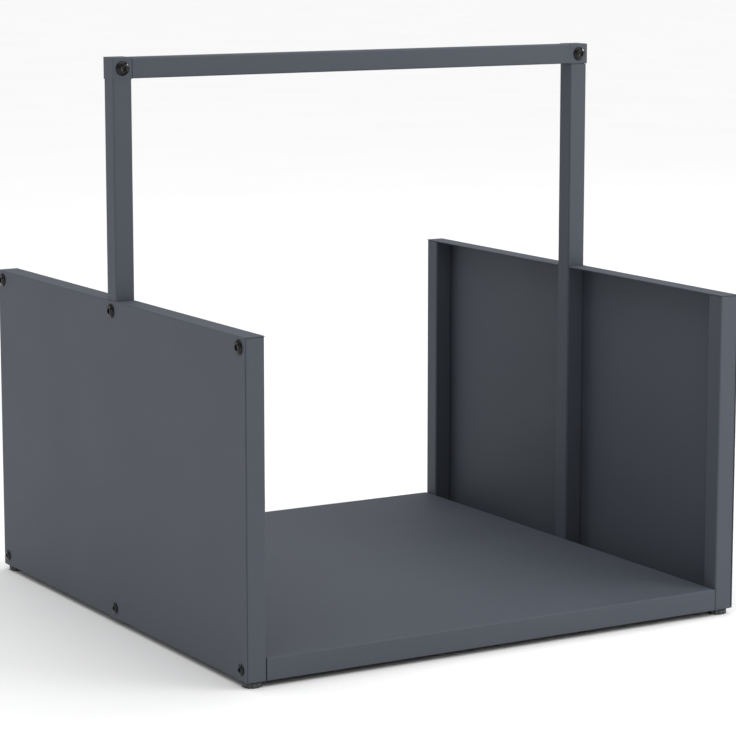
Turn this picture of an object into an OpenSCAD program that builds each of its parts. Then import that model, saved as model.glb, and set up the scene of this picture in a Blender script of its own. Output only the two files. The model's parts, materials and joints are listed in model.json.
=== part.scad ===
// Firewood rack with a carrying handle: sheet sides on square-tube legs, a folded floor tray
// between them, and two posts that carry a bar across the top.
// X runs along the width, the front faces -Y, and Z is up from the floor.

/* [Overall] */
// Width over the outer faces of the side sheets
rack_w = 412; // [300:1:600]
// Depth from the front of the legs to the back
rack_d = 410; // [250:1:600]
// Height from the floor to the top of the handle
rack_h = 417; // [360:1:650]
// Height of a side sheet
side_h = 237; // [120:1:300]

/* [Tubes] */
// Outer size of the square tube
tube_s = 15; // [14.5:0.1:20]
// Wall of the square tube
tube_wall = 1; // [0.8:0.1:1.5]
// Outer corner radius of the square tube
tube_r = 1.4; // [0.8:0.1:2]

/* [Side sheets] */
// Thickness of a side sheet
sheet_t = 0.6; // [0.5:0.1:1.5]
// Inside radius of each fold in the sheets
fold_r = 0.3; // [0.2:0.1:1]
// Gap left where a flange is notched round a tube
notch_gap = 0.3; // [0.1:0.1:1]

/* [Floor tray] */
// Height of the tray from its lower edge to the top of the floor
tray_h = 16; // [15.5:0.5:40]
// Thickness of the tray's sheet
tray_t = 1; // [0.6:0.1:2]
// Gap between the tray and the tubes beside it
tray_gap = 0.4; // [0.2:0.1:1]

/* [Handle corners] */
// How far a corner box stands proud of the tube on each face
head_proud = 0.3; // [0.1:0.1:1]
// Wall of a corner box
head_wall = 1.2; // [0.8:0.1:1.5]
// Outer radius of a corner box's four long edges
head_r = 0.8; // [0.5:0.1:1.7]
// Open seam where a corner is screwed together
seam = 0.3; // [0.2:0.1:0.6]
// Clearance round a tongue inside its tube
tongue_gap = 0.2; // [0.1:0.05:0.4]
// Length of a tongue inside its tube
tongue_grip = 20; // [10:1:40]

/* [Feet] */
// Height of a foot below the leg
foot_h = 4.5; // [3:0.5:10]
// Diameter of a foot over its grip flutes
foot_d = 14; // [13:0.5:20]
// Height of the smooth waist between a foot's fluted rim and its leg
waist_h = 1; // [0.5:0.5:2]
// Number of grip flutes round a foot
flutes = 12; // [8:1:16]
// Depth of a grip flute
flute_depth = 0.8; // [0.2:0.1:0.9]
// Diameter of the round cut that makes a grip flute
flute_d = 2; // [1:0.1:2.4]
// Height of a foot's plug inside the leg
plug_h = 13; // [12:1:25]

/* [Short screws, at the top of the sides and in the handle's corners] */
// Thread diameter of a short screw
short_d = 6; // [5:0.5:6]
// Length of a short screw under its head
short_l = 11; // [8:1:12]
// Diameter of its head
short_head_d = 10.5; // [9:0.5:12]
// Height of its head
short_head_h = 2.6; // [2:0.1:4]
// Width across the flats of its hexagon socket
short_socket = 4; // [3:0.5:5]
// Distance of the top row of screws below the top of the sheet
top_drop = 7.5; // [7:0.5:20]

/* [Long screws, along the bottom of the sides] */
// Thread diameter of a long screw
long_d = 5; // [4:0.5:5]
// Diameter of its head
long_head_d = 8.4; // [8:0.1:10]
// Height of its head
long_head_h = 1.8; // [1.8:0.1:3]
// Width across the flats of its hexagon socket
long_socket = 3; // [2.5:0.5:4]
// How far it reaches past its nut
long_past_nut = 0.7; // [0:0.1:5]
// Distance of the bottom row of screws above the lower edge of the sheet
bottom_rise = 8; // [6.5:0.5:9]

/* [All screws] */
// Height of the straight rim of a head
screw_rim_h = 0.5; // [0.3:0.1:1]
// Depth of the hexagon socket
socket_h = 1.5; // [0.8:0.1:1.6]
// Radial clearance of a plain hole round a screw
hole_gap = 0.25; // [0.1:0.05:0.4]
// Radial clearance of a thread round a screw
thread_gap = 0.05; // [0.02:0.01:0.1]

/* [Nuts and inserts] */
// Width across the flats of a welded nut
nut_af = 8; // [7:0.5:10]
// Height of a welded nut
nut_h = 4; // [3:0.5:8]
// Outer diameter of a threaded insert
insert_d = 9; // [8.5:0.5:9.5]
// Length of a threaded insert
insert_l = 11; // [8:0.5:12]
// Diameter of the collar that grips the tube wall from inside
collar_d = 10.6; // [10:0.2:11.4]
// Length of that collar
collar_l = 2; // [1:0.5:4]

/* [Hidden] */
$fn = 48;

anthracite = "#4b5157";
black = "#1b1c1e";
zinc = "#b4b8bb";
eps = 1;

// Levels
sheet_top = foot_h + side_h;
top_row_z = sheet_top - top_drop;
bottom_row_z = foot_h + bottom_rise;

// Tubes
tube_in = tube_s - 2 * tube_wall;
tube_in_r = max(tube_r - tube_wall, 0.3);
upright_x = rack_w / 2 - sheet_t - tube_s / 2;
leg_y = rack_d / 2 - tube_s / 2;
upright_ys = [-leg_y, 0, leg_y];
inner_x = upright_x - tube_s / 2;
leg_top_z = sheet_top - sheet_t - fold_r;

// Side sheets
flange_w = sheet_t + tube_s;

// Holes
short_hole_d = short_d + 2 * hole_gap;
long_hole_d = long_d + 2 * hole_gap;
short_thread_d = short_d + 2 * thread_gap;
long_thread_d = long_d + 2 * thread_gap;
insert_hole_d = insert_d + 2 * thread_gap;

// Handle corners
head_s = tube_s + 2 * head_proud;
head_in = head_s - 2 * head_wall;
head_z = rack_h - head_s;
bar_z = rack_h - head_s / 2;
bar_x0 = -upright_x + head_s / 2 + seam;
bar_x1 = upright_x - head_s / 2;
post_right_top = head_z - seam;
tongue_s = tube_in - 2 * tongue_gap;

// Floor tray
tray_w = 2 * (inner_x - tray_gap);
long_l = sheet_t + tube_s + tray_gap + tray_t + nut_h + long_past_nut;

// A square with round corners, about its centre
module round_square(size, r) {
    square([size, size - 2 * r], center = true);
    square([size - 2 * r, size], center = true);
    for (sx = [-1, 1], sy = [-1, 1])
        translate([sx * (size / 2 - r), sy * (size / 2 - r)])
            circle(r);
}

// A square tube that stands on the origin
module tube(length, size = tube_s, wall = tube_wall, r = tube_r) {
    linear_extrude(length)
        difference() {
            round_square(size, r);
            round_square(size - 2 * wall, max(r - wall, 0.3));
        }
}

// A round hole along X through whatever stands at x, from x0 to x1
module hole_x(x0, x1, y, z, d) {
    translate([x0, y, z])
        rotate([0, 90, 0])
            cylinder(h = x1 - x0, d = d);
}

// The section of a sheet that is folded inward along its top and its lower edge, open to +X
module folded_section(w, h, r) {
    translate([r, 0])
        square([w - r, h]);
    translate([0, r])
        square([w, h - 2 * r]);
    for (y = [r, h - r])
        translate([r, y])
            circle(r);
}

// A sheet side as it stands on the left
module side_sheet() {
    difference() {
        translate([-rack_w / 2, rack_d / 2, foot_h])
            rotate([90, 0, 0])
                linear_extrude(rack_d)
                    difference() {
                        folded_section(flange_w, side_h, fold_r + sheet_t);
                        translate([sheet_t, sheet_t])
                            folded_section(flange_w, side_h - 2 * sheet_t, fold_r);
                    }
        // The top flange is notched round the post
        upright_notch(0, sheet_top - tube_s, sheet_top + eps);
        // The lower flange runs between the legs and the post
        for (y = upright_ys)
            upright_notch(y, foot_h - eps, foot_h + tube_s);
        for (y = upright_ys) {
            hole_x(-rack_w / 2 - eps, -rack_w / 2 + sheet_t + eps, y, top_row_z, short_hole_d);
            hole_x(-rack_w / 2 - eps, -rack_w / 2 + sheet_t + eps, y, bottom_row_z, long_hole_d);
        }
    }
}

// The space that an upright needs in a flange, from z0 to z1
module upright_notch(y, z0, z1) {
    notch_w = tube_s + 2 * notch_gap;
    translate([-rack_w / 2 + sheet_t, y - notch_w / 2, z0])
        cube([flange_w, notch_w, z1 - z0]);
}

// A leg or a post on the left, with the holes that the screws need
module upright(y, top_z) {
    outer_x = -upright_x - tube_s / 2;
    difference() {
        translate([-upright_x, y, foot_h])
            tube(top_z - foot_h);
        hole_x(outer_x - eps, outer_x + tube_wall + eps, y, top_row_z, insert_hole_d);
        hole_x(outer_x - eps, outer_x + tube_s + eps, y, bottom_row_z, long_hole_d);
    }
}

// The closed box at a corner of the handle: open below, with a window in its +X wall and a
// screw hole in its front wall
module corner_box() {
    difference() {
        union() {
            tube(head_s - head_wall, head_s, head_wall, head_r);
            translate([0, 0, head_s - head_wall])
                linear_extrude(head_wall)
                    round_square(head_s, head_r);
        }
        translate([head_s / 2 - head_wall - eps, -head_in / 2, head_wall])
            cube([head_wall + 2 * eps, head_in, head_in]);
        translate([0, 0, head_s / 2])
            rotate([90, 0, 0])
                cylinder(h = head_s / 2 + eps, d = short_hole_d);
    }
}

// A square tongue from z = 0 upward, threaded across its axis at thread_z
module tongue(length, thread_z) {
    difference() {
        linear_extrude(length)
            round_square(tongue_s, tube_in_r);
        translate([0, tongue_s / 2 + eps, thread_z])
            rotate([90, 0, 0])
                cylinder(h = tongue_s + 2 * eps, d = short_thread_d);
    }
}

// A domed screw with a hexagon socket: its head stands below z = 0 and its shank points up
module screw(length, d, head_d, head_h, socket) {
    dome_h = head_h - screw_rim_h;
    rim_r = head_d / 2;
    dome_r = (rim_r * rim_r + dome_h * dome_h) / (2 * dome_h);
    difference() {
        union() {
            cylinder(h = length, d = d);
            translate([0, 0, -screw_rim_h])
                cylinder(h = screw_rim_h, r = rim_r);
            intersection() {
                translate([0, 0, dome_r - head_h])
                    sphere(dome_r, $fn = 96);
                translate([0, 0, -head_h])
                    cylinder(h = dome_h, r = rim_r);
            }
        }
        translate([0, 0, -head_h - eps])
            cylinder(h = socket_h + eps, d = socket / cos(30), $fn = 6);
    }
}

module short_screw() {
    screw(short_l, short_d, short_head_d, short_head_h, short_socket);
}

module long_screw() {
    screw(long_l, long_d, long_head_d, long_head_h, long_socket);
}

// Places its child three times along the left side, as a screw that points inward
module along_left_side(z) {
    for (y = upright_ys)
        translate([-rack_w / 2, y, z])
            rotate([0, 90, 0])
                children();
}

// A round foot whose square plug goes up into the leg and is crossed by the bottom screw
module foot(y) {
    rim_h = foot_h - waist_h;
    waist_d = foot_d - 2 * flute_depth;
    difference() {
        translate([-upright_x, y, 0]) {
            linear_extrude(rim_h)
                difference() {
                    circle(d = foot_d);
                    for (n = [0 : flutes - 1])
                        rotate(n * 360 / flutes)
                            translate([foot_d / 2 + flute_d / 2 - flute_depth, 0])
                                circle(d = flute_d, $fn = 24);
                }
            translate([0, 0, rim_h])
                cylinder(h = waist_h, d = waist_d);
            translate([0, 0, foot_h])
                linear_extrude(plug_h)
                    round_square(tongue_s, tube_in_r);
        }
        hole_x(-upright_x - tube_s, -upright_x + tube_s, y, bottom_row_z, long_hole_d);
    }
}

// A threaded insert from z = 0 upward, with the collar that grips the tube wall from inside
module insert() {
    difference() {
        union() {
            cylinder(h = insert_l, d = insert_d);
            translate([0, 0, tube_wall])
                cylinder(h = collar_l, d = collar_d);
        }
        translate([0, 0, -eps])
            cylinder(h = insert_l + 2 * eps, d = short_thread_d);
    }
}

// The inserts in the three uprights on the left
module side_inserts() {
    for (y = upright_ys)
        translate([-upright_x - tube_s / 2, y, top_row_z])
            rotate([0, 90, 0])
                insert();
}

// The nuts welded inside the tray's left flange
module side_nuts() {
    for (y = upright_ys)
        translate([-tray_w / 2 + tray_t, y, bottom_row_z])
            rotate([0, 90, 0])
                difference() {
                    cylinder(h = nut_h, d = nut_af / cos(30), $fn = 6);
                    translate([0, 0, -eps])
                        cylinder(h = nut_h + 2 * eps, d = long_thread_d);
                }
}

// A block with its four upper edges rounded, standing on z = 0
module rounded_tray(w, d, h, r) {
    intersection() {
        translate([0, d / 2, 0])
            rotate([90, 0, 0])
                linear_extrude(d)
                    arched_section(w, h, r);
        translate([-w / 2, 0, 0])
            rotate([90, 0, 90])
                linear_extrude(w)
                    arched_section(d, h, r);
    }
}

// A rectangle that stands on the X axis, with its two upper corners rounded
module arched_section(w, h, r) {
    translate([-w / 2, 0])
        square([w, h - r]);
    translate([r - w / 2, 0])
        square([w - 2 * r, h]);
    for (side = [-1, 1])
        translate([side * (w / 2 - r), h - r])
            circle(r);
}

module side_sheet_left() {
    color(anthracite)
        side_sheet();
}

module side_sheet_right() {
    color(anthracite)
        mirror([1, 0, 0])
            side_sheet();
}

module front_leg_left() {
    color(anthracite)
        upright(-leg_y, leg_top_z);
}

module rear_leg_left() {
    color(anthracite)
        upright(leg_y, leg_top_z);
}

module front_leg_right() {
    color(anthracite)
        mirror([1, 0, 0])
            upright(-leg_y, leg_top_z);
}

module rear_leg_right() {
    color(anthracite)
        mirror([1, 0, 0])
            upright(leg_y, leg_top_z);
}

// The left post carries its corner box on top
module post_left() {
    color(anthracite)
        upright(0, head_z);
}

// The right post ends under the corner box of the bar
module post_right() {
    color(anthracite)
        mirror([1, 0, 0])
            upright(0, post_right_top);
}

module handle_bar() {
    color(anthracite)
        translate([bar_x0, 0, bar_z])
            rotate([0, 90, 0])
                tube(bar_x1 - bar_x0);
}

module post_head_left() {
    color(anthracite)
        translate([-upright_x, 0, head_z])
            corner_box();
}

// The same box on its side: closed at the end of the bar, with its window facing down
module bar_head_right() {
    color(anthracite)
        translate([bar_x1, 0, bar_z])
            rotate([0, 90, 0])
                corner_box();
}

module bar_tongue() {
    tip_x = -upright_x - head_in / 2 + tongue_gap;
    color(black)
        translate([tip_x, 0, bar_z])
            rotate([0, 90, 0])
                tongue(bar_x0 + tongue_grip - tip_x, -upright_x - tip_x);
}

module post_tongue() {
    foot_z = post_right_top - tongue_grip;
    color(black)
        translate([upright_x, 0, foot_z])
            tongue(head_z + head_wall + head_in - tongue_gap - foot_z, bar_z - foot_z);
}

module floor_tray() {
    color(anthracite)
        difference() {
            translate([0, 0, foot_h])
                rounded_tray(tray_w, rack_d, tray_h, fold_r + tray_t);
            translate([0, 0, foot_h - tray_h])
                rounded_tray(tray_w - 2 * tray_t, rack_d - 2 * tray_t, 2 * tray_h - tray_t, fold_r);
            for (y = upright_ys)
                hole_x(-rack_w / 2, rack_w / 2, y, bottom_row_z, long_hole_d);
        }
}

module foot_front_left() {
    color(black)
        foot(-leg_y);
}

module foot_rear_left() {
    color(black)
        foot(leg_y);
}

module foot_front_right() {
    color(black)
        mirror([1, 0, 0])
            foot(-leg_y);
}

module foot_rear_right() {
    color(black)
        mirror([1, 0, 0])
            foot(leg_y);
}

module top_screws_left() {
    color(black)
        along_left_side(top_row_z)
            short_screw();
}

module top_screws_right() {
    color(black)
        mirror([1, 0, 0])
            along_left_side(top_row_z)
                short_screw();
}

module bottom_screws_left() {
    color(black)
        along_left_side(bottom_row_z)
            long_screw();
}

module bottom_screws_right() {
    color(black)
        mirror([1, 0, 0])
            along_left_side(bottom_row_z)
                long_screw();
}

module handle_screws() {
    color(black)
        for (x = [-upright_x, upright_x])
            translate([x, -head_s / 2, bar_z])
                rotate([-90, 0, 0])
                    short_screw();
}

module tube_inserts_left() {
    color(zinc)
        side_inserts();
}

module tube_inserts_right() {
    color(zinc)
        mirror([1, 0, 0])
            side_inserts();
}

module tray_nuts_left() {
    color(zinc)
        side_nuts();
}

module tray_nuts_right() {
    color(zinc)
        mirror([1, 0, 0])
            side_nuts();
}

side_sheet_left();
side_sheet_right();
front_leg_left();
rear_leg_left();
front_leg_right();
rear_leg_right();
post_left();
post_right();
handle_bar();
post_head_left();
bar_head_right();
bar_tongue();
post_tongue();
floor_tray();
foot_front_left();
foot_rear_left();
foot_front_right();
foot_rear_right();
top_screws_left();
top_screws_right();
bottom_screws_left();
bottom_screws_right();
handle_screws();
tube_inserts_left();
tube_inserts_right();
tray_nuts_left();
tray_nuts_right();
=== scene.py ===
"""Firewood rack with a carrying handle: its coated sheets and tubes, corner boxes, screws and feet."""

import json
from math import asin, atan2, copysign, cos, floor, radians, sin

import bmesh
import bpy
from bpy.props import FloatProperty, FloatVectorProperty, IntProperty, PointerProperty
from bpy.types import Operator, Panel, PropertyGroup
from mathutils import Matrix, Vector


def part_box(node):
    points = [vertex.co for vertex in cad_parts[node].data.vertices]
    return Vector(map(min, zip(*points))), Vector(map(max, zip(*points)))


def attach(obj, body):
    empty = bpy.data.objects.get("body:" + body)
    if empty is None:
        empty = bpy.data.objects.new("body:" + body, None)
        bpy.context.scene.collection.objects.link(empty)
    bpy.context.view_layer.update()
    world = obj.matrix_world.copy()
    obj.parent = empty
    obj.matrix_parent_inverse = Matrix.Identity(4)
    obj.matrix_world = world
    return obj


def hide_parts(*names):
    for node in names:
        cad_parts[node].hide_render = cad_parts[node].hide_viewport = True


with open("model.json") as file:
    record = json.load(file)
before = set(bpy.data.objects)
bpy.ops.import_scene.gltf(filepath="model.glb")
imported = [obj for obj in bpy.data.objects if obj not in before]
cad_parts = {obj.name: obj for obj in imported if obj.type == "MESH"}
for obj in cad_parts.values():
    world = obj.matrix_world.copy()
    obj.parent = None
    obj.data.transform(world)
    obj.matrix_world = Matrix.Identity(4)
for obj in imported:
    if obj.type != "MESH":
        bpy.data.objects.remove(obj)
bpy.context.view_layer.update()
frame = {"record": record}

bl_info = {
    "name": "Firewood rack",
    "version": (1, 0, 0),
    "blender": (4, 5, 0),
    "location": "3D View > Sidebar > Rack",
    "description": "Builds a firewood rack with sheet sides, a folded tray and a carrying handle",
    "category": "Object",
}

X, Y, Z = 0, 1, 2
MM = 0.001

SIDES = ("left", "right")
LEFT_UPRIGHTS = ("front_leg_left", "rear_leg_left", "post_left")
UPRIGHTS = (*LEFT_UPRIGHTS, "front_leg_right", "rear_leg_right", "post_right")
# Degrees about Y that turn Z inwards from each side
INWARD = {"left": 90, "right": -90}

# Places this near are one place
TOUCH = 0.001 * MM
# A cut this near a vertex runs through it
SNAP = TOUCH / 10
# Cosine of the angle up to which a direction counts as along an axis
STRAIGHT = 0.999
# Angle past which an edge is sharp
SHARP_ANGLE = radians(35)

# Segments of the round shapes; those of the flutes are for one flute each
HOLE_SIDES = 32
CORNER_STEPS = 6
FOLD_STEPS = 5
EDGE_STEPS = 3
SOFT_STEPS = 2
DOME_STEPS = 8
LATHE_STEPS = 48
FLUTE_STEPS = 10

# Flat land round a hole, and between a corner box's window and its inner faces
HOLE_LAND = 1.0 * MM
WINDOW_LAND = 0.2 * MM
# Clearance of a notch on each side of an upright, and how far the web runs on in it
NOTCH_GAP = 0.3 * MM
NOTCH_TAB = 0.8 * MM
# Step from the ground weld out to the faces of its corner box
WELD_STEP = 0.04 * MM
# Corners of the tongues and plugs, and how far a plug reaches into its foot
PLUG_CORNER = 0.4 * MM
PLUG_SINK = 0.2 * MM
# Lower chamfer of a foot's rim, of which the upper one is half
FOOT_CHAMFER = 0.3 * MM
# Length of a threaded insert's collar
COLLAR_LENGTH = 2.0 * MM
# Upright rim under a screw's dome, and the depth of its socket from the dome's top
SCREW_RIM = 0.5 * MM
SOCKET_DEPTH = 1.5 * MM
# A screw's end chamfer as a share of its thread, its socket's round mouth as a multiple of
# the hexagon over its corners, and the socket's drilled point as a share of its width
SHANK_CHAMFER = 1 / 12
SOCKET_MOUTH = 1.12
SOCKET_POINT = 1 / 12
# Width of the softened edges of screws and inserts, of tongues and of nuts
SMALL_SOFT = 0.12 * MM
TONGUE_SOFT = 0.15 * MM
NUT_SOFT = 0.25 * MM
# How the first screw of a row is turned, and each next one from the one before
FIRST_TURN = radians(23)
NEXT_TURN = radians(37)

# Range that most of a noise pattern lies in
NOISE_LOW = 0.3
NOISE_HIGH = 0.7

# Place of each soft light, and its width and height
SOFT_LIGHTS = {
    "front": ((0.9, -1.05, 0.75), (0.9, 0.9)),
    "back": ((-1.6, 1.5, 0.9), (0.3, 0.3)),
    "side": ((2.7, 0.05, 1.3), (0.45, 0.65)),
    "left": ((-3.2, 0.4, 0.4), (0.25, 0.25)),
}
# Where the soft lights look, and how widely the light from above spreads
LIGHT_AIM = Vector((0, 0, 0.2))
OVERHEAD_SPREAD = radians(90)
# From the rack to the floor's edge, and the nearest and farthest that the lens sees
FLOOR_REACH = 40.0
LENS_REACH = (0.05, 100.0)
# Width of the camera's sensor, in millimetres
SENSOR_WIDTH = 36.0


def extent(node, axis):
    """Length of a node's box along one axis."""
    low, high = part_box(node)
    return high[axis] - low[axis]


def middle(node):
    """Middle of a node's box."""
    low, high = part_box(node)
    return (low + high) / 2


def outer_and_inner(node):
    """Where a node of one side has its outer and its inner face, along X."""
    low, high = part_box(node)
    return (low.x, high.x) if low.x < 0 else (high.x, low.x)


def slot_colour(slot):
    """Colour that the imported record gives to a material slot."""
    for entry in frame["record"]["materials"]:
        if entry["slot"] == slot:
            return tuple(entry["base_color"])
    raise RuntimeError("The record has no material slot %s" % slot)


class RackSizes(PropertyGroup):
    """Sizes of the rack's sheets, tubes and screws."""

    tube_wall: FloatProperty(
        name="Tube wall",
        description="Wall of the square tube",
        default=1.0 * MM, unit="LENGTH")
    tube_corner: FloatProperty(
        name="Tube corner",
        description="Outer radius of the tube's four corners",
        default=1.4 * MM, unit="LENGTH")
    sheet_wall: FloatProperty(
        name="Side sheet",
        description="Thickness of a side sheet",
        default=0.6 * MM, unit="LENGTH")
    sheet_fold: FloatProperty(
        name="Side sheet fold",
        description="Outer radius of the folds along a side sheet",
        default=0.9 * MM, unit="LENGTH")
    notch: FloatProperty(
        name="Flange notch",
        description="Width of the notch that clears an upright",
        default=extent("post_left", Y) + 2 * NOTCH_GAP, unit="LENGTH")
    tray_wall: FloatProperty(
        name="Tray sheet",
        description="Thickness of the tray's sheet",
        default=1.0 * MM, unit="LENGTH")
    tray_fold: FloatProperty(
        name="Tray fold",
        description="Outer radius of the tray's folds",
        default=1.3 * MM, unit="LENGTH")
    box_wall: FloatProperty(
        name="Corner box wall",
        description="Wall of a corner box of the handle",
        default=1.2 * MM, unit="LENGTH")
    box_corner: FloatProperty(
        name="Corner box radius",
        description="Outer radius of a corner box's four long edges",
        default=0.8 * MM, unit="LENGTH")
    box_edge: FloatProperty(
        name="Corner box lid edge",
        description="Softening of the edges round a corner box's lid",
        default=0.35 * MM, unit="LENGTH")
    weld: FloatProperty(
        name="Weld",
        description="Length of the ground weld where the bar meets its corner box",
        default=0.9 * MM, unit="LENGTH")
    short_thread: FloatProperty(
        name="Short screw thread",
        description="Thread diameter of the short screws",
        default=6.0 * MM, unit="LENGTH")
    short_length: FloatProperty(
        name="Short screw length",
        description="Length of a short screw under its head",
        default=11.0 * MM, unit="LENGTH")
    short_head: FloatProperty(
        name="Short screw head",
        description="Diameter of a short screw's head",
        default=extent("top_screws_left", Z), unit="LENGTH")
    short_dome: FloatProperty(
        name="Short screw dome",
        description="Height of a short screw's whole dome",
        default=2.6 * MM, unit="LENGTH")
    short_socket: FloatProperty(
        name="Short screw socket",
        description="Width across the flats of a short screw's socket",
        default=4.0 * MM, unit="LENGTH")
    long_thread: FloatProperty(
        name="Long screw thread",
        description="Thread diameter of the long screws",
        default=5.0 * MM, unit="LENGTH")
    long_length: FloatProperty(
        name="Long screw length",
        description="Length of a long screw under its head",
        default=21.7 * MM, unit="LENGTH")
    long_head: FloatProperty(
        name="Long screw head",
        description="Diameter of a long screw's head",
        default=extent("bottom_screws_left", Z), unit="LENGTH")
    long_dome: FloatProperty(
        name="Long screw dome",
        description="Height of a long screw's whole dome",
        default=1.8 * MM, unit="LENGTH")
    long_socket: FloatProperty(
        name="Long screw socket",
        description="Width across the flats of a long screw's socket",
        default=3.0 * MM, unit="LENGTH")
    hole_gap: FloatProperty(
        name="Hole clearance",
        description="Radial clearance of a plain hole round a screw",
        default=0.25 * MM, unit="LENGTH")
    thread_gap: FloatProperty(
        name="Thread clearance",
        description="Radial clearance of a thread round a screw",
        default=0.05 * MM, unit="LENGTH")
    insert_body: FloatProperty(
        name="Insert body",
        description="Outer diameter of a threaded insert",
        default=9.0 * MM, unit="LENGTH")
    flutes: IntProperty(
        name="Foot flutes",
        description="Number of grip flutes round a foot",
        default=12)
    flute_depth: FloatProperty(
        name="Flute depth",
        description="Depth of a grip flute",
        default=0.8 * MM, unit="LENGTH")
    waist: FloatProperty(
        name="Foot waist",
        description="Height of the smooth waist above a foot's fluted rim",
        default=1.0 * MM, unit="LENGTH")

    def short_hole(self):
        """Radius of a plain hole for a short screw."""
        return self.short_thread / 2 + self.hole_gap

    def long_hole(self):
        """Radius of a plain hole for a long screw."""
        return self.long_thread / 2 + self.hole_gap

    def short_bore(self):
        """Radius of a thread for a short screw."""
        return self.short_thread / 2 + self.thread_gap

    def long_bore(self):
        """Radius of a thread for a long screw."""
        return self.long_thread / 2 + self.thread_gap

    def insert_hole(self):
        """Radius of a hole for a threaded insert."""
        return self.insert_body / 2 + self.thread_gap


class RackColours(PropertyGroup):
    """Colours of the rack's finishes."""

    coat: FloatVectorProperty(
        name="Coat",
        description="Colour of the powder coat",
        default=(0.070, 0.079, 0.098), subtype="COLOR", size=3)
    coat_light: FloatVectorProperty(
        name="Coat, light parts",
        description="Colour of the coat where it is thicker",
        default=(0.080, 0.089, 0.109), subtype="COLOR", size=3)
    screw: FloatVectorProperty(
        name="Screws",
        description="Colour of the black plating",
        default=slot_colour("black_plated_steel"), subtype="COLOR", size=3)
    foot: FloatVectorProperty(
        name="Feet",
        description="Colour of the moulded feet",
        default=slot_colour("foot_plastic"), subtype="COLOR", size=3)
    zinc: FloatVectorProperty(
        name="Zinc",
        description="Colour of the zinc plating",
        default=slot_colour("zinc_steel"), subtype="COLOR", size=3)
    floor: FloatVectorProperty(
        name="Floor",
        description="Colour of the studio floor",
        default=(0.95, 0.95, 0.95), subtype="COLOR", size=3)


class StageSettings(PropertyGroup):
    """Camera and light of the studio."""

    camera_at: FloatVectorProperty(
        name="Camera place",
        description="Where the camera stands",
        default=(-1.0679, -1.8280, 0.5241), subtype="TRANSLATION", size=3)
    azimuth: FloatProperty(
        name="Azimuth",
        description="Turn of the camera round the rack, from the front",
        default=radians(-30.533), subtype="ANGLE")
    pitch: FloatProperty(
        name="Pitch",
        description="How far the camera looks down",
        default=radians(9.371), subtype="ANGLE")
    lens: FloatProperty(
        name="Lens",
        description="Focal length on a 36 mm sensor, in millimetres",
        default=137.13, unit="CAMERA")
    sky: FloatProperty(
        name="Surrounding light",
        description="Strength of the even light from all round",
        default=0.33)
    overhead: FloatProperty(
        name="Overhead light",
        description="Strength of the wide light from above, in watts per square metre",
        default=2.20)
    front: FloatProperty(
        name="Front light",
        description="Power of the soft light at the front right",
        default=6.6, unit="POWER")
    back: FloatProperty(
        name="Back light",
        description="Power of the soft light at the back left",
        default=2.4, unit="POWER")
    side: FloatProperty(
        name="Side light",
        description="Power of the light at the right, which glints on the handle's screws",
        default=18.0, unit="POWER")
    left: FloatProperty(
        name="Left light",
        description="Power of the light at the left, which glints on the side screws",
        default=1.8, unit="POWER")


# Shapes

def block(low, high):
    """A closed block that fills the box from low to high."""
    bm = bmesh.new()
    bmesh.ops.create_cube(bm, size=1.0)
    bmesh.ops.scale(bm, vec=high - low, verts=bm.verts)
    bmesh.ops.translate(bm, vec=(low + high) / 2, verts=bm.verts)
    bm.normal_update()
    return bm


def edges_along(bm, axis):
    """The straight edges that run along one axis."""
    chosen = []
    for edge in bm.edges:
        run = edge.verts[1].co - edge.verts[0].co
        if abs(run[axis]) > STRAIGHT * run.length:
            chosen.append(edge)
    return chosen


def round_edges(bm, edges, radius, steps):
    """Round some edges with an arc of a few steps."""
    bmesh.ops.bevel(
        bm, geom=edges, offset=radius, offset_type="OFFSET", segments=steps,
        profile=0.5, affect="EDGES", material=-1)
    bm.normal_update()


def faces_facing(bm, axis, sign):
    """The flat faces that look along an axis, towards the sign's end."""
    return [face for face in bm.faces if face.normal[axis] * sign > STRAIGHT]


def remove_faces(bm, faces):
    """Take faces away, with the edges that only they use."""
    bmesh.ops.delete(bm, geom=faces, context="FACES")


def cut_faces(bm, faces, axis, level):
    """Cut some faces by the plane at one level of an axis."""
    point = Vector((0, 0, 0))
    direction = Vector((0, 0, 0))
    point[axis] = level
    direction[axis] = 1
    # A dict holds each part once and in order
    parts = dict.fromkeys(faces)
    for face in faces:
        parts.update(dict.fromkeys(face.edges))
        parts.update(dict.fromkeys(face.verts))
    bmesh.ops.bisect_plane(
        bm, geom=list(parts), dist=SNAP, plane_co=point, plane_no=direction)


def axes_across(axis):
    """The two axes across an axis."""
    return [other for other in (Z, Y, X) if other != axis]


def wall_at(bm, point, axis):
    """The flat face across an axis that holds a point."""
    for face in bm.faces:
        if abs(face.normal[axis]) < STRAIGHT:
            continue
        low = [min(vert.co[i] for vert in face.verts) for i in (X, Y, Z)]
        high = [max(vert.co[i] for vert in face.verts) for i in (X, Y, Z)]
        if all(low[i] - TOUCH <= point[i] <= high[i] + TOUCH for i in (X, Y, Z)):
            return face
    raise RuntimeError("There is no flat wall at %s" % (tuple(point),))


def loop_of(verts):
    """The edges of a closed loop of vertices, each once and in order."""
    return list(dict.fromkeys(edge for vert in verts for edge in vert.link_edges))


def grow_rim(bm, edges):
    """Grow a band of faces from a loop of edges and give its new vertices and edges."""
    made = bmesh.ops.extrude_edge_only(bm, edges=edges)["geom"]
    verts = [part for part in made if isinstance(part, bmesh.types.BMVert)]
    rim = [part for part in made if isinstance(part, bmesh.types.BMEdge) and part.is_boundary]
    return verts, rim


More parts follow.
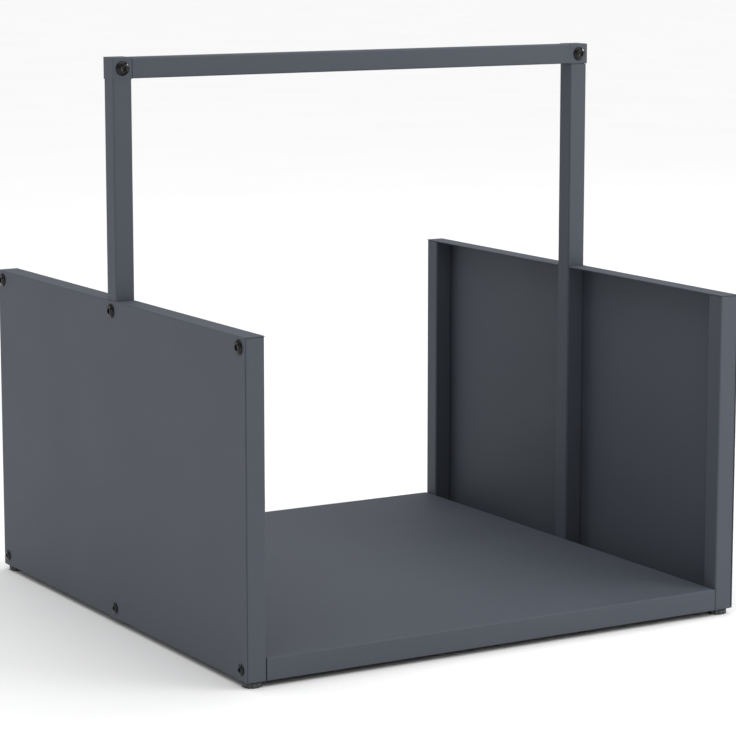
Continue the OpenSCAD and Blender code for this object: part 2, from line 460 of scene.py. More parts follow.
def square_to_circle(along, across, radius):
    """The place on a circle, in even steps, of a place on the square round it."""
    if abs(along) >= abs(across):
        turn = radians(45) * across / along
        reach = copysign(radius, along)
        return reach * cos(turn), reach * sin(turn)
    turn = radians(45) * along / across
    reach = copysign(radius, across)
    return reach * sin(turn), reach * cos(turn)


def open_square(bm, point, axis, half):
    """Open a square hole in the flat wall at a point and give its edges and the way it faces."""
    for other in axes_across(axis):
        for side in (-half, half):
            cut_faces(bm, [wall_at(bm, point, axis)], other, point[other] + side)
    cell = wall_at(bm, point, axis)
    outward = cell.normal.copy()
    border = list(cell.edges)
    bmesh.ops.delete(bm, geom=[cell], context="FACES_ONLY")
    return border, outward


def drill(bm, point, axis, radius):
    """Open a round hole in the flat wall at a point and give the edges of its rim."""
    point = Vector(point)
    half = radius + HOLE_LAND
    border, outward = open_square(bm, point, axis, half)
    bmesh.ops.subdivide_edges(bm, edges=border, cuts=HOLE_SIDES // 4 - 1)
    reach = [half + TOUCH] * 3
    reach[axis] = TOUCH
    square = [
        edge for edge in bm.edges
        if edge.is_boundary
        and all(abs(vert.co[i] - point[i]) < reach[i] for vert in edge.verts for i in (X, Y, Z))
    ]
    verts, rim = grow_rim(bm, square)
    first, second = axes_across(axis)
    for vert in verts:
        place = vert.co - point
        place[first], place[second] = square_to_circle(place[first], place[second], radius)
        vert.co = point + place
    bm.normal_update()
    band = [edge.link_faces[0] for edge in rim]
    if band[0].normal.dot(outward) < 0:
        bmesh.ops.reverse_faces(bm, faces=band)
    return rim


def join_holes(bm, edges, way):
    """Run a tunnel from the edges of one hole to the hole that lies this way behind it."""
    far = grow_rim(bm, edges)[0]
    bmesh.ops.translate(bm, vec=way, verts=far)
    bmesh.ops.remove_doubles(bm, verts=bm.verts, dist=TOUCH)
    bmesh.ops.recalc_face_normals(bm, faces=bm.faces)


def bore(bm, first, second, axis, radius):
    """Open a round tunnel between the flat walls at two points."""
    drill(bm, second, axis, radius)
    join_holes(bm, drill(bm, first, axis, radius), Vector(second) - Vector(first))


def chain(bm, points):
    """A wire through points given as radius and height, in the XZ plane."""
    verts = [bm.verts.new((radius, 0, height)) for radius, height in points]
    for first, second in zip(verts, verts[1:]):
        bm.edges.new((first, second))
    return verts


def lathe(bm):
    """Turn the wire in a mesh once round Z and close its poles."""
    bmesh.ops.spin(
        bm, geom=list(bm.verts) + list(bm.edges), cent=(0, 0, 0), axis=(0, 0, 1),
        angle=radians(360), steps=LATHE_STEPS, use_merge=True)
    bmesh.ops.remove_doubles(bm, verts=bm.verts, dist=TOUCH)


def mirror_across(bm):
    """Mirror a left-hand shape to the right, with its faces still outwards."""
    bmesh.ops.scale(bm, vec=(-1, 1, 1), verts=bm.verts)
    bmesh.ops.reverse_faces(bm, faces=bm.faces)
    bm.normal_update()


def copy_into(bm, part, place):
    """Add a placed copy of one mesh to another."""
    twin = part.copy()
    bmesh.ops.transform(twin, matrix=place, verts=twin.verts)
    mesh = bpy.data.meshes.new("copy")
    twin.to_mesh(mesh)
    twin.free()
    bm.from_mesh(mesh)
    bpy.data.meshes.remove(mesh)


# Finishes

def new_finish(name):
    """A new material with its node tree, its shader and the object's own coordinates."""
    finish = bpy.data.materials.new(name)
    finish.use_nodes = True
    tree = finish.node_tree
    shader = tree.nodes["Principled BSDF"]
    place = tree.nodes.new("ShaderNodeTexCoord").outputs["Object"]
    return finish, tree, shader, place


def noise(tree, place, scale, detail, roughness=0.5):
    """A noise pattern with about this many grains to the metre."""
    pattern = tree.nodes.new("ShaderNodeTexNoise")
    pattern.inputs["Scale"].default_value = scale
    pattern.inputs["Detail"].default_value = detail
    pattern.inputs["Roughness"].default_value = roughness
    tree.links.new(place, pattern.inputs["Vector"])
    return pattern.outputs["Fac"]


def between(tree, value, low, high):
    """Spread a pattern between two numbers."""
    spread = tree.nodes.new("ShaderNodeMapRange")
    spread.inputs["From Min"].default_value = NOISE_LOW
    spread.inputs["From Max"].default_value = NOISE_HIGH
    spread.inputs["To Min"].default_value = low
    spread.inputs["To Max"].default_value = high
    tree.links.new(value, spread.inputs["Value"])
    return spread.outputs["Result"]


def tones(tree, value, dark, light):
    """Spread a pattern between two colours."""
    ramp = tree.nodes.new("ShaderNodeValToRGB")
    ramp.color_ramp.elements[0].position = NOISE_LOW
    ramp.color_ramp.elements[1].position = NOISE_HIGH
    ramp.color_ramp.elements[0].color = (*dark, 1)
    ramp.color_ramp.elements[1].color = (*light, 1)
    tree.links.new(value, ramp.inputs["Fac"])
    return ramp.outputs["Color"]


def blend_colours(tree, share, first, second):
    """Mix two colours by a pattern."""
    mixer = tree.nodes.new("ShaderNodeMix")
    mixer.data_type = "RGBA"
    tree.links.new(share, mixer.inputs["Factor"])
    tree.links.new(first, mixer.inputs["A"])
    tree.links.new(second, mixer.inputs["B"])
    return mixer.outputs["Result"]


def relief(tree, value, depth, strength, below=None):
    """Raise a surface by a pattern, on top of another relief."""
    bump = tree.nodes.new("ShaderNodeBump")
    bump.inputs["Distance"].default_value = depth
    bump.inputs["Strength"].default_value = strength
    tree.links.new(value, bump.inputs["Height"])
    if below is not None:
        tree.links.new(below, bump.inputs["Normal"])
    return bump.outputs["Normal"]


def shade(colour, share):
    """A colour made darker or lighter."""
    return [share * part for part in colour]


def powder_coat(tree, shader, place, colours):
    """Anthracite powder coat with fine grain, a soft orange peel and a slight cloud of tone."""
    cloud = noise(tree, place, scale=14, detail=3)
    grain = noise(tree, place, scale=2600, detail=2, roughness=0.6)
    peel = noise(tree, place, scale=620, detail=2)
    plain = tones(tree, cloud, colours.coat, colours.coat_light)
    fleck = tones(tree, grain, shade(colours.coat, 0.88), shade(colours.coat_light, 1.12))
    colour = blend_colours(tree, between(tree, peel, low=0.25, high=0.6), plain, fleck)
    tree.links.new(colour, shader.inputs["Base Color"])
    shader.inputs["Specular IOR Level"].default_value = 0.25
    tree.links.new(between(tree, cloud, low=0.55, high=0.64), shader.inputs["Roughness"])
    soft = relief(tree, peel, depth=0.03 * MM, strength=0.5)
    fine = relief(tree, grain, depth=0.012 * MM, strength=0.5, below=soft)
    tree.links.new(fine, shader.inputs["Normal"])


def black_plating(tree, shader, place, colours):
    """Black plating, slightly glossy, with a faint mottle and fine pores."""
    mottle = noise(tree, place, scale=900, detail=4)
    pores = noise(tree, place, scale=4200, detail=2)
    base = tones(tree, mottle, shade(colours.screw, 0.4), shade(colours.screw, 0.9))
    tree.links.new(base, shader.inputs["Base Color"])
    shader.inputs["Specular IOR Level"].default_value = 0.25
    tree.links.new(between(tree, mottle, low=0.14, high=0.2), shader.inputs["Roughness"])
    fine = relief(tree, pores, depth=0.006 * MM, strength=0.4)
    tree.links.new(fine, shader.inputs["Normal"])


def moulded_plastic(tree, shader, place, colours):
    """Black moulded plastic with a fine texture and a slight cloud of tone."""
    cloud = noise(tree, place, scale=160, detail=3)
    texture = noise(tree, place, scale=3200, detail=3)
    base = tones(tree, cloud, shade(colours.foot, 0.9), shade(colours.foot, 1.25))
    tree.links.new(base, shader.inputs["Base Color"])
    tree.links.new(between(tree, cloud, low=0.45, high=0.6), shader.inputs["Roughness"])
    fine = relief(tree, texture, depth=0.02 * MM, strength=0.5)
    tree.links.new(fine, shader.inputs["Normal"])


def zinc_plate(tree, shader, place, colours):
    """Zinc plating with a fine crystal mottle and a slight shift of tint."""
    shader.inputs["Metallic"].default_value = 1.0
    tint = noise(tree, place, scale=300, detail=2)
    crystals = noise(tree, place, scale=2400, detail=3)
    red, green, blue = colours.zinc
    warm = (red * 1.06, green * 1.02, blue * 0.92)
    cool = (red * 0.93, green * 0.98, blue * 1.06)
    tree.links.new(tones(tree, tint, warm, cool), shader.inputs["Base Color"])
    tree.links.new(between(tree, crystals, low=0.28, high=0.42), shader.inputs["Roughness"])
    fine = relief(tree, crystals, depth=0.008 * MM, strength=0.4)
    tree.links.new(fine, shader.inputs["Normal"])


FINISHES = {
    "powder_coated_steel": ("powder coat", powder_coat),
    "black_plated_steel": ("black plating", black_plating),
    "foot_plastic": ("moulded plastic", moulded_plastic),
    "zinc_steel": ("zinc plate", zinc_plate),
}


def finish_for(slot):
    """The finish of a material slot, made when the first piece asks for it."""
    name, fill = FINISHES[slot]
    if name in bpy.data.materials:
        return bpy.data.materials[name]
    finish, tree, shader, place = new_finish(name)
    fill(tree, shader, place, bpy.context.scene.rack_colours)
    return finish


# Pieces

def finish_piece(name, bm, slot, node, wall=0.0, soften=0.0):
    """Make the piece that stands for a node, with a wall or softened edges where given."""
    mesh = bpy.data.meshes.new(name)
    bmesh.ops.triangulate(bm, faces=[face for face in bm.faces if len(face.verts) > 4])
    for face in bm.faces:
        face.smooth = True
    bm.to_mesh(mesh)
    bm.free()
    mesh.materials.append(finish_for(slot))
    piece = bpy.data.objects.new(name, mesh)
    bpy.context.scene.collection.objects.link(piece)
    if wall:
        shell = piece.modifiers.new("Wall", "SOLIDIFY")
        shell.thickness = wall
        shell.offset = -1
        shell.use_even_offset = True
    if soften:
        edges = piece.modifiers.new("Softened edges", "BEVEL")
        edges.width = soften
        edges.segments = SOFT_STEPS
        edges.limit_method = "ANGLE"
        edges.angle_limit = SHARP_ANGLE
        edges.miter_outer = "MITER_ARC"
    elif wall:
        creases = piece.modifiers.new("Sharp edges", "EDGE_SPLIT")
        creases.split_angle = SHARP_ANGLE
    else:
        mesh.set_sharp_from_angle(angle=SHARP_ANGLE)
    normals = piece.modifiers.new("Flat faces", "WEIGHTED_NORMAL")
    normals.keep_sharp = True
    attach(piece, "root")
    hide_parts(node)


def tube_shell(node, axis, corner):
    """The outer skin of a square tube along an axis, open at both ends."""
    bm = block(*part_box(node))
    round_edges(bm, edges_along(bm, axis), corner, CORNER_STEPS)
    remove_faces(bm, faces_facing(bm, axis, 1) + faces_facing(bm, axis, -1))
    return bm


def side_row(x, level, turn):
    """The places beside the uprights of one side, turned about Y by some degrees."""
    return [
        Matrix.Translation((x, middle(upright).y, level)) @ Matrix.Rotation(radians(turn), 4, "Y")
        for upright in LEFT_UPRIGHTS
    ]


def set_at(shape, places):
    """One mesh with a copy of a shape at each place."""
    bm = bmesh.new()
    for place in places:
        copy_into(bm, shape, place)
    return bm


class RACK_OT_side_sheets(Operator):
    """Build the two side sheets, folded inwards along their top and lower edges"""

    bl_idname = "rack.side_sheets"
    bl_label = "Side sheets"

    def execute(self, context):
        sizes = context.scene.rack_sizes
        top_row = middle("top_screws_left").z
        bottom_row = middle("bottom_screws_left").z
        uprights = [middle(node).y for node in LEFT_UPRIGHTS]
        low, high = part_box("side_sheet_left")
        web_top = high.z - sizes.sheet_fold
        web_foot = low.z + sizes.sheet_fold
        for side in SIDES:
            bm = block(low, high)
            folds = [edge for edge in edges_along(bm, Y) if edge.verts[0].co.x < low.x + TOUCH]
            round_edges(bm, folds, sizes.sheet_fold, FOLD_STEPS)
            ends = faces_facing(bm, Y, 1) + faces_facing(bm, Y, -1)
            remove_faces(bm, ends + faces_facing(bm, X, 1))
            for y in uprights:
                drill(bm, (low.x, y, top_row), X, sizes.short_hole())
                drill(bm, (low.x, y, bottom_row), X, sizes.long_hole())
            self.notch_flange(bm, web_top, 1, middle("post_left").y, sizes.notch / 2)
            for y in uprights:
                self.notch_flange(bm, web_foot, -1, y, sizes.notch / 2)
            if side == "right":
                mirror_across(bm)
            finish_piece(
                "coated_sheet_" + side, bm, "powder_coated_steel", "side_sheet_" + side,
                wall=sizes.sheet_wall)
        return {"FINISHED"}

    def notch_flange(self, bm, level, up, y, half):
        """Clear the flange beyond a level round an upright and run the web on straight there."""
        def beyond():
            return [face for face in bm.faces if (face.calc_center_median().z - level) * up > 0]
        for limit in (y - half, y + half):
            cut_faces(bm, beyond(), Y, limit)
        remove_faces(bm, [face for face in beyond() if abs(face.calc_center_median().y - y) < half])
        opened = [
            edge for edge in bm.edges
            if edge.is_boundary
            and all(abs(vert.co.z - level) < TOUCH for vert in edge.verts)
            and all(abs(vert.co.y - y) < half + TOUCH for vert in edge.verts)
        ]
        tab = grow_rim(bm, opened)[0]
        bmesh.ops.translate(bm, vec=(0, 0, up * NOTCH_TAB), verts=tab)
        bm.normal_update()


class RACK_OT_uprights(Operator):
    """Build the four legs and the two posts of square tube"""

    bl_idname = "rack.uprights"
    bl_label = "Legs and posts"

    def execute(self, context):
        sizes = context.scene.rack_sizes
        top_row = middle("top_screws_left").z
        bottom_row = middle("bottom_screws_left").z
        for node in UPRIGHTS:
            y = middle(node).y
            outer, inner = outer_and_inner(node)
            bm = tube_shell(node, Z, sizes.tube_corner)
            drill(bm, (outer, y, top_row), X, sizes.insert_hole())
            drill(bm, (outer, y, bottom_row), X, sizes.long_hole())
            drill(bm, (inner, y, bottom_row), X, sizes.long_hole())
            finish_piece(
                "coated_" + node, bm, "powder_coated_steel", node, wall=sizes.tube_wall)
        return {"FINISHED"}


class RACK_OT_handle_bar(Operator):
    """Build the bar of the handle, with the ground weld at its right end"""

    bl_idname = "rack.handle_bar"
    bl_label = "Handle bar"

    def execute(self, context):
        sizes = context.scene.rack_sizes
        bm = tube_shell("handle_bar", X, sizes.tube_corner)
        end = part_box("handle_bar")[1].x
        cut_faces(bm, bm.faces[:], X, end - sizes.weld)
        tip = [vert for vert in bm.verts if vert.co.x > end - TOUCH]
        flare = (extent("bar_head_right", Y) - 2 * WELD_STEP) / extent("handle_bar", Y)
        bmesh.ops.scale(
            bm, vec=(1, flare, flare), verts=tip,
            space=Matrix.Translation(-middle("handle_bar")))
        finish_piece(
            "coated_handle_bar", bm, "powder_coated_steel", "handle_bar", wall=sizes.tube_wall)
        return {"FINISHED"}


class RACK_OT_corner_boxes(Operator):
    """Build the two corner boxes of the handle"""

    bl_idname = "rack.corner_boxes"
    bl_label = "Corner boxes"

    def execute(self, context):
        sizes = context.scene.rack_sizes
        size = extent("post_head_left", Z)
        left = middle("post_head_left") - Vector((0, 0, size / 2))
        right = middle("bar_head_right") - Vector((size / 2, 0, 0))
        places = {
            "post_head_left": Matrix.Translation(left),
            "bar_head_right": Matrix.Translation(right) @ Matrix.Rotation(radians(90), 4, "Y"),
        }
        for node, place in places.items():
            bm = self.box_shell(sizes, size)
            bmesh.ops.transform(bm, matrix=place, verts=bm.verts)
            finish_piece("coated_" + node, bm, "powder_coated_steel", node)
        return {"FINISHED"}

    def box_shell(self, sizes, size):
        """A box on the origin: open below, with a window towards +X and a hole in front."""
        half = size / 2
        inside = half - sizes.box_wall
        bm = block(Vector((-half, -half, 0)), Vector((half, half, size)))
        round_edges(bm, edges_along(bm, Z), sizes.box_corner, CORNER_STEPS)
        round_edges(bm, faces_facing(bm, Z, 1)[0].edges[:], sizes.box_edge, EDGE_STEPS)
        remove_faces(bm, faces_facing(bm, Z, -1))
        # The mouth steps in to the inner faces, which run up to a flat roof
        mouth, rim = grow_rim(bm, [edge for edge in bm.edges if edge.is_boundary])
        for vert in mouth:
            vert.co.xy = [copysign(min(abs(place), inside), place) for place in vert.co.xy]
        roof = grow_rim(bm, rim)[0]
        bmesh.ops.translate(bm, vec=(0, 0, size - sizes.box_wall), verts=roof)
        bmesh.ops.remove_doubles(bm, verts=bm.verts, dist=TOUCH)
        rim = [edge for edge in bm.edges if edge.is_boundary]
        bmesh.ops.holes_fill(bm, edges=rim, sides=0)
        bmesh.ops.recalc_face_normals(bm, faces=bm.faces)
        bore(
            bm, Vector((0, -half, half)), Vector((0, -inside, half)), Y, sizes.short_hole())
        window = inside - WINDOW_LAND
        open_square(bm, Vector((inside, 0, half)), X, window)
        edges, outward = open_square(bm, Vector((half, 0, half)), X, window)
        join_holes(bm, edges, -sizes.box_wall * outward)
        return bm


class RACK_OT_tongues(Operator):
    """Build the two threaded tongues inside the handle's corners"""

    bl_idname = "rack.tongues"
    bl_label = "Tongues"

    def execute(self, context):
        sizes = context.scene.rack_sizes
        level = middle("handle_bar").z
        for node, axis, post in (
                ("bar_tongue", X, "post_left"),
                ("post_tongue", Z, "post_right")):
            low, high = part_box(node)
            x = middle(post).x
            bm = block(low, high)
            round_edges(bm, edges_along(bm, axis), PLUG_CORNER, EDGE_STEPS)
            bore(bm, (x, low.y, level), (x, high.y, level), Y, sizes.short_bore())
            finish_piece("black_" + node, bm, "black_plated_steel", node, soften=TONGUE_SOFT)
        return {"FINISHED"}


class RACK_OT_floor_tray(Operator):
    """Build the floor tray, folded down along its four edges"""

    bl_idname = "rack.floor_tray"
    bl_label = "Floor tray"

    def execute(self, context):
        sizes = context.scene.rack_sizes
        level = middle("bottom_screws_left").z
        low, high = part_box("floor_tray")
        bm = block(low, high)
        round_edges(bm, faces_facing(bm, Z, 1)[0].edges[:], sizes.tray_fold, FOLD_STEPS)
        remove_faces(bm, faces_facing(bm, Z, -1))
        for node in LEFT_UPRIGHTS:
            for x in (low.x, high.x):
                drill(bm, (x, middle(node).y, level), X, sizes.long_hole())
        finish_piece(
            "coated_floor_tray", bm, "powder_coated_steel", "floor_tray", wall=sizes.tray_wall)
        return {"FINISHED"}


class RACK_OT_feet(Operator):
    """Build the four round feet with their square plugs"""

    bl_idname = "rack.feet"
    bl_label = "Feet"

    def execute(self, context):
        sizes = context.scene.rack_sizes
        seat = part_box("front_leg_left")[0].z
        for side in SIDES:
            for row in ("front", "rear"):
                node = "foot_%s_%s" % (row, side)
                low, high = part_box(node)
                centre = middle(node)
                bm = self.plug(sizes, centre, seat - PLUG_SINK, high.z)
                disc = self.fluted_disc(sizes, (high.x - low.x) / 2, seat - low.z)
                copy_into(bm, disc, Matrix.Translation((centre.x, centre.y, low.z)))
                disc.free()
                finish_piece("moulded_" + node, bm, "foot_plastic", node)
        return {"FINISHED"}

    def plug(self, sizes, centre, bottom, top):
        """The square plug inside a leg, with a cross hole for the leg's long screw."""
        half = extent("bar_tongue", Y) / 2
        level = middle("bottom_screws_left").z
        bm = block(
            Vector((centre.x - half, centre.y - half, bottom)),
            Vector((centre.x + half, centre.y + half, top)))
        round_edges(bm, edges_along(bm, Z), PLUG_CORNER, EDGE_STEPS)
        bore(
            bm, (centre.x + half, centre.y, level), (centre.x - half, centre.y, level), X,
            sizes.long_hole())
        return bm

    def fluted_disc(self, sizes, radius, height):
        """A disc on the origin: a fluted rim with chamfered edges, and a smooth waist above it."""
        disc = bmesh.new()
        ring = bmesh.ops.create_circle(
            disc, cap_ends=True, segments=FLUTE_STEPS * sizes.flutes,
            radius=radius - FOOT_CHAMFER)["verts"]
        for number, vert in enumerate(ring):
            dip = (0.5 + 0.5 * cos(radians(360 * number / FLUTE_STEPS))) ** 2
            inset = 1 - dip * sizes.flute_depth / radius
            bmesh.ops.scale(disc, vec=(inset, inset, 1), verts=[vert])
        edges = loop_of(ring)
        upper_chamfer = FOOT_CHAMFER / 2
        for rise, size in (
                (FOOT_CHAMFER, radius / (radius - FOOT_CHAMFER)),
                (height - sizes.waist - FOOT_CHAMFER - upper_chamfer, 1),
                (upper_chamfer, 1 - upper_chamfer / radius)):
            ring, edges = grow_rim(disc, edges)
            bmesh.ops.translate(disc, vec=(0, 0, rise), verts=ring)
            bmesh.ops.scale(disc, vec=(size, size, 1), verts=ring)
        waist, edges = grow_rim(disc, edges)
        level = waist[0].co.z
        for vert in waist:
            vert.co.xy = vert.co.xy.normalized() * (radius - sizes.flute_depth - FOOT_CHAMFER)
        top, edges = grow_rim(disc, edges)
        bmesh.ops.translate(disc, vec=(0, 0, height - level), verts=top)
        bmesh.ops.holes_fill(disc, edges=edges, sides=0)
        bmesh.ops.recalc_face_normals(disc, faces=disc.faces)
        return disc


def circle_to_hexagon(place, corner):
    """The place on a hexagon, in even steps, of a place on a circle round it."""
    sixth = radians(60)
    turn = atan2(place.y, place.x) / sixth
    number = floor(turn)
    ends = [
        Vector((corner * cos(sixth * step), corner * sin(sixth * step)))
        for step in (number, number + 1)
    ]
    return ends[0].lerp(ends[1], turn - number)


def screw_shape(thread, length, head, dome, socket):
    """A domed screw with a hexagon socket: its head below z = 0 and its shank up Z."""
    bm = bmesh.new()
    chamfer = thread * SHANK_CHAMFER
    radius = head / 2
    rise = dome - SCREW_RIM
    sphere = (radius * radius + rise * rise) / (2 * rise)
    wire = chain(bm, (
        (0, length), (thread / 2 - chamfer, length), (thread / 2, length - chamfer),
        (thread / 2, 0), (radius, 0), (radius, -SCREW_RIM)))
    corner = socket / (2 * cos(radians(30)))
    sweep = asin(radius / sphere) - asin(SOCKET_MOUTH * corner / sphere)
    bmesh.ops.spin(
        bm, geom=wire[-1:], cent=(0, 0, sphere - dome), axis=(0, 1, 0), angle=sweep,
        steps=DOME_STEPS)
    lathe(bm)
    # The socket: its round mouth turns into a hexagon, which runs down to a drilled point
    verts, rim = grow_rim(bm, [edge for edge in bm.edges if edge.is_boundary])
    level = verts[0].co.z
    for vert in verts:
        vert.co.xy = circle_to_hexagon(vert.co.xy, corner)
    verts, rim = grow_rim(bm, rim)
    bmesh.ops.translate(bm, vec=(0, 0, SOCKET_DEPTH - dome - level), verts=verts)
    base = bmesh.ops.holes_fill(bm, edges=rim, sides=0)["faces"]
    point = bmesh.ops.poke(bm, faces=base)["verts"]
    bmesh.ops.translate(bm, vec=(0, 0, socket * SOCKET_POINT), verts=point)
    bmesh.ops.recalc_face_normals(bm, faces=bm.faces)
    return bm


def short_screw(sizes):
    """A short screw, as it holds the sides' top and the handle's corners."""
    return screw_shape(
        sizes.short_thread, sizes.short_length, sizes.short_head,
        sizes.short_dome, sizes.short_socket)


def long_screw(sizes):
    """A long screw, as it holds a side, an upright and the tray together."""
    return screw_shape(
        sizes.long_thread, sizes.long_length, sizes.long_head,
        sizes.long_dome, sizes.long_socket)


def add_screws(node, shape, places):
    """Set one screw at each place, each turned a little further than the one before."""
    turned = [
        place @ Matrix.Rotation(FIRST_TURN + NEXT_TURN * number, 4, "Z")
        for number, place in enumerate(places)
    ]
    finish_piece(
        "black_" + node, set_at(shape, turned), "black_plated_steel", node, soften=SMALL_SOFT)


class RACK_OT_side_screws(Operator):
    """Build the short screws at the top of the sides and the long ones along the bottom"""

    bl_idname = "rack.side_screws"
    bl_label = "Side screws"

    def execute(self, context):
        sizes = context.scene.rack_sizes
        for row, shape in (("top", short_screw(sizes)), ("bottom", long_screw(sizes))):
            for side in SIDES:
                node = "%s_screws_%s" % (row, side)
                outer = outer_and_inner("side_sheet_" + side)[0]
                add_screws(node, shape, side_row(outer, middle(node).z, INWARD[side]))
            shape.free()
        return {"FINISHED"}


class RACK_OT_handle_screws(Operator):
    """Build the two short screws at the front of the handle's corners"""

    bl_idname = "rack.handle_screws"
    bl_label = "Handle screws"

    def execute(self, context):
        shape = short_screw(context.scene.rack_sizes)
        places = []
        for box in ("post_head_left", "bar_head_right"):
            seat = middle(box)
            seat.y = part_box(box)[0].y
            places.append(Matrix.Translation(seat) @ Matrix.Rotation(radians(-90), 4, "X"))
        add_screws("handle_screws", shape, places)
        shape.free()
        return {"FINISHED"}


class RACK_OT_inserts(Operator):
    """Build the threaded inserts in the uprights"""

    bl_idname = "rack.inserts"
    bl_label = "Threaded inserts"

    def execute(self, context):
        sizes = context.scene.rack_sizes
        for side in SIDES:
            node = "tube_inserts_" + side
            shape = self.insert_shape(sizes, extent(node, X), extent(node, Z) / 2)
            outer = outer_and_inner(node)[0]
            bm = set_at(shape, side_row(outer, middle(node).z, INWARD[side]))
            shape.free()
            finish_piece("zinc_" + node, bm, "zinc_steel", node, soften=SMALL_SOFT)
        return {"FINISHED"}

    def insert_shape(self, sizes, length, collar):
        """A threaded insert up Z from the tube's outer face, with its collar behind the wall."""
        bm = bmesh.new()
        thread = sizes.short_bore()
        body = sizes.insert_body / 2
        start = sizes.tube_wall
        end = start + COLLAR_LENGTH
        wire = chain(bm, (
            (thread, 0), (body, 0), (body, start), (collar, start),
            (collar, end), (body, end), (body, length), (thread, length)))
        bm.edges.new((wire[-1], wire[0]))
        lathe(bm)
        bmesh.ops.recalc_face_normals(bm, faces=bm.faces)
        return bm


class RACK_OT_nuts(Operator):
    """Build the nuts welded inside the tray's flanges"""

    bl_idname = "rack.nuts"
    bl_label = "Welded nuts"

    def execute(self, context):
        sizes = context.scene.rack_sizes
        for side in SIDES:
            node = "tray_nuts_" + side
            low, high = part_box(node)
            shape = self.nut_shape(sizes, high.x - low.x, extent(node, Z) / 2)
            bm = set_at(shape, side_row(low.x, middle(node).z, 90))
            shape.free()
            finish_piece("zinc_" + node, bm, "zinc_steel", node, soften=NUT_SOFT)
        return {"FINISHED"}

    def nut_shape(self, sizes, height, corner):
        """A hexagon nut that stands on the origin."""
        bm = bmesh.new()
        outer = loop_of(bmesh.ops.create_circle(bm, segments=6, radius=corner)["verts"])
        bmesh.ops.subdivide_edges(bm, edges=outer, cuts=LATHE_STEPS // 6 - 1)
        outer = list(bm.edges)
        inner = loop_of(bmesh.ops.create_circle(
            bm, segments=LATHE_STEPS, radius=sizes.long_bore())["verts"])
        ring = bmesh.ops.bridge_loops(bm, edges=outer + inner)["faces"]
        made = bmesh.ops.extrude_face_region(bm, geom=ring, use_keep_orig=True)["geom"]
        verts = [part for part in made if isinstance(part, bmesh.types.BMVert)]
        bmesh.ops.translate(bm, vec=(0, 0, height), verts=verts)
        bmesh.ops.recalc_face_normals(bm, faces=bm.faces)
        return bm


# Studio

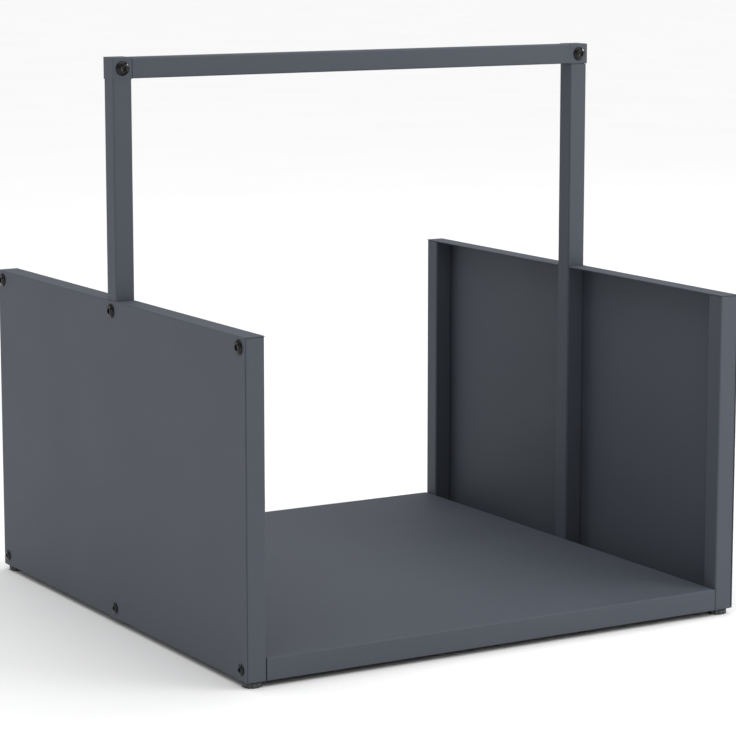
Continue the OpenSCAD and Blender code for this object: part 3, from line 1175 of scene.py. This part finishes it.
class RACK_OT_stage(Operator):
    """Set up the floor, the light and the camera"""

    bl_idname = "rack.stage"
    bl_label = "Studio"

    def execute(self, context):
        stage = context.scene.rack_stage
        self.floor(context.scene, context.scene.rack_colours)
        self.sky(context.scene, stage)
        self.overhead(context.scene, stage)
        for name, (place, size) in SOFT_LIGHTS.items():
            self.soft_light(context.scene, name + " light", place, size, getattr(stage, name))
        self.camera(context.scene, stage)
        context.scene.view_settings.view_transform = "Standard"
        return {"FINISHED"}

    def floor(self, scene, colours):
        """A wide pale floor with a faint cloud of tone."""
        bm = bmesh.new()
        bmesh.ops.create_grid(bm, x_segments=2, y_segments=2, size=FLOOR_REACH)
        mesh = bpy.data.meshes.new("studio_floor")
        bm.to_mesh(mesh)
        bm.free()
        finish, tree, shader, place = new_finish("pale floor")
        cloud = noise(tree, place, scale=3, detail=2)
        colour = tones(tree, cloud, shade(colours.floor, 0.985), colours.floor)
        tree.links.new(colour, shader.inputs["Base Color"])
        shader.inputs["Roughness"].default_value = 0.9
        shader.inputs["Specular IOR Level"].default_value = 0.2
        mesh.materials.append(finish)
        ground = bpy.data.objects.new("studio_floor", mesh)
        scene.collection.objects.link(ground)

    def sky(self, scene, stage):
        """Even white light from all round."""
        world = bpy.data.worlds.new("studio")
        world.use_nodes = True
        background = world.node_tree.nodes["Background"]
        background.inputs["Color"].default_value = (1, 1, 1, 1)
        background.inputs["Strength"].default_value = stage.sky
        scene.world = world

    def overhead(self, scene, stage):
        """A wide light from straight above."""
        lamp = bpy.data.lights.new("overhead light", "SUN")
        lamp.energy = stage.overhead
        lamp.angle = OVERHEAD_SPREAD
        light = bpy.data.objects.new("overhead light", lamp)
        scene.collection.objects.link(light)

    def soft_light(self, scene, name, place, size, power):
        """A soft light of some width and height, which looks at the rack."""
        lamp = bpy.data.lights.new(name, "AREA")
        lamp.shape = "ELLIPSE"
        lamp.size, lamp.size_y = size
        lamp.energy = power
        light = bpy.data.objects.new(name, lamp)
        light.location = place
        aim = LIGHT_AIM - light.location
        light.rotation_euler = aim.to_track_quat("-Z", "Y").to_euler()
        scene.collection.objects.link(light)

    def camera(self, scene, stage):
        """A long lens from the front left, a little above the handle."""
        lens = bpy.data.cameras.new("camera")
        lens.lens = stage.lens
        lens.sensor_width = SENSOR_WIDTH
        lens.clip_start, lens.clip_end = LENS_REACH
        camera = bpy.data.objects.new("camera", lens)
        camera.location = stage.camera_at
        camera.rotation_euler = (radians(90) - stage.pitch, 0, stage.azimuth)
        scene.collection.objects.link(camera)
        scene.camera = camera


class RACK_PT_panel(Panel):
    """The rack's sizes, colours and pieces"""

    bl_idname = "RACK_PT_panel"
    bl_label = "Firewood rack"
    bl_space_type = "VIEW_3D"
    bl_region_type = "UI"
    bl_category = "Rack"

    def draw(self, context):
        for group in (
                context.scene.rack_sizes, context.scene.rack_colours, context.scene.rack_stage):
            column = self.layout.column()
            for name in group.__annotations__:
                column.prop(group, name)
        column = self.layout.column()
        for step in STEPS:
            column.operator(step.bl_idname)


STEPS = (
    RACK_OT_side_sheets,
    RACK_OT_uprights,
    RACK_OT_handle_bar,
    RACK_OT_corner_boxes,
    RACK_OT_tongues,
    RACK_OT_floor_tray,
    RACK_OT_feet,
    RACK_OT_side_screws,
    RACK_OT_handle_screws,
    RACK_OT_inserts,
    RACK_OT_nuts,
    RACK_OT_stage,
)

CLASSES = (RackSizes, RackColours, StageSettings, *STEPS, RACK_PT_panel)


def register():
    for item in CLASSES:
        bpy.utils.register_class(item)
    bpy.types.Scene.rack_sizes = PointerProperty(type=RackSizes)
    bpy.types.Scene.rack_colours = PointerProperty(type=RackColours)
    bpy.types.Scene.rack_stage = PointerProperty(type=StageSettings)


def unregister():
    del bpy.types.Scene.rack_stage
    del bpy.types.Scene.rack_colours
    del bpy.types.Scene.rack_sizes
    for item in reversed(CLASSES):
        bpy.utils.unregister_class(item)


def main():
    """Build every piece and the studio."""
    register()
    bpy.ops.rack.side_sheets()
    bpy.ops.rack.uprights()
    bpy.ops.rack.handle_bar()
    bpy.ops.rack.corner_boxes()
    bpy.ops.rack.tongues()
    bpy.ops.rack.floor_tray()
    bpy.ops.rack.feet()
    bpy.ops.rack.side_screws()
    bpy.ops.rack.handle_screws()
    bpy.ops.rack.inserts()
    bpy.ops.rack.nuts()
    bpy.ops.rack.stage()


if __name__ == "__main__":
    main()
